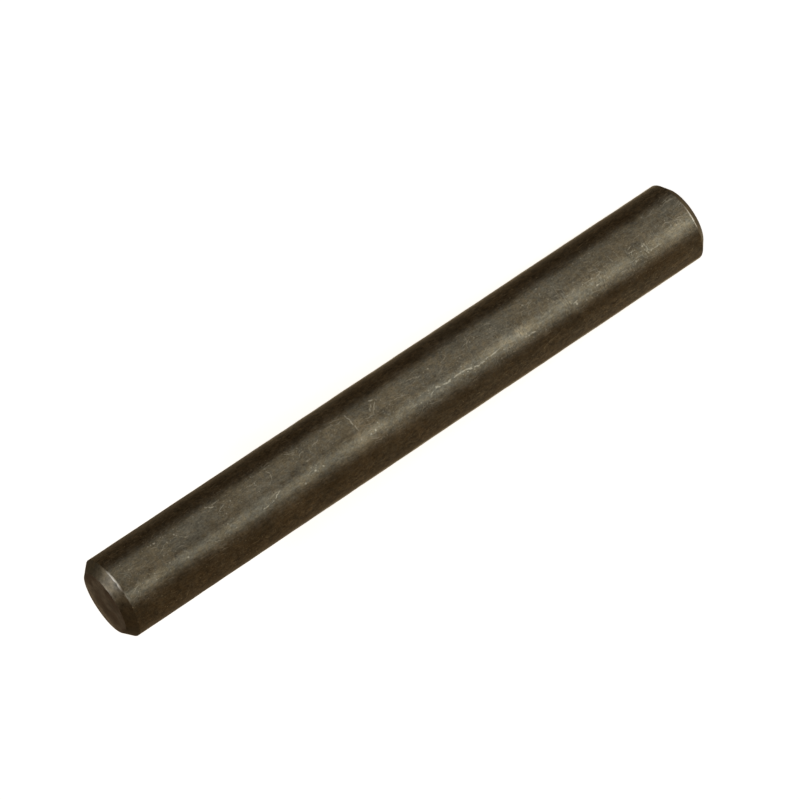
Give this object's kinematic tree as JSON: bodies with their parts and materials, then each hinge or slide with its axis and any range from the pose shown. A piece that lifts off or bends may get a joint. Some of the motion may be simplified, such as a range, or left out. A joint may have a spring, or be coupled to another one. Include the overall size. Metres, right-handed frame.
{
  "type": "heel jaw pin",
  "caption": "Solid round steel pin with a chamfered lead-in at each end, driven through a pipe wrench head to hold its heel jaw.",
  "frame": {"origin": "centre of the foot's flat end face, on the pin's axis", "axes": "+Z along the pin's axis from the foot face up to the top face; the pin is round, so X and Y may point anywhere across it"},
  "size_m": [0.0096, 0.0096, 0.079],
  "materials": {
    "blackened_steel": "oiled black oxide over turned and ground steel, warm dark grey, fine handling scratches, bright worn line on each shoulder"
  },
  "bodies": {
    "root": {"heel_jaw_pin": "blackened_steel"}
  },
  "joints": []
}
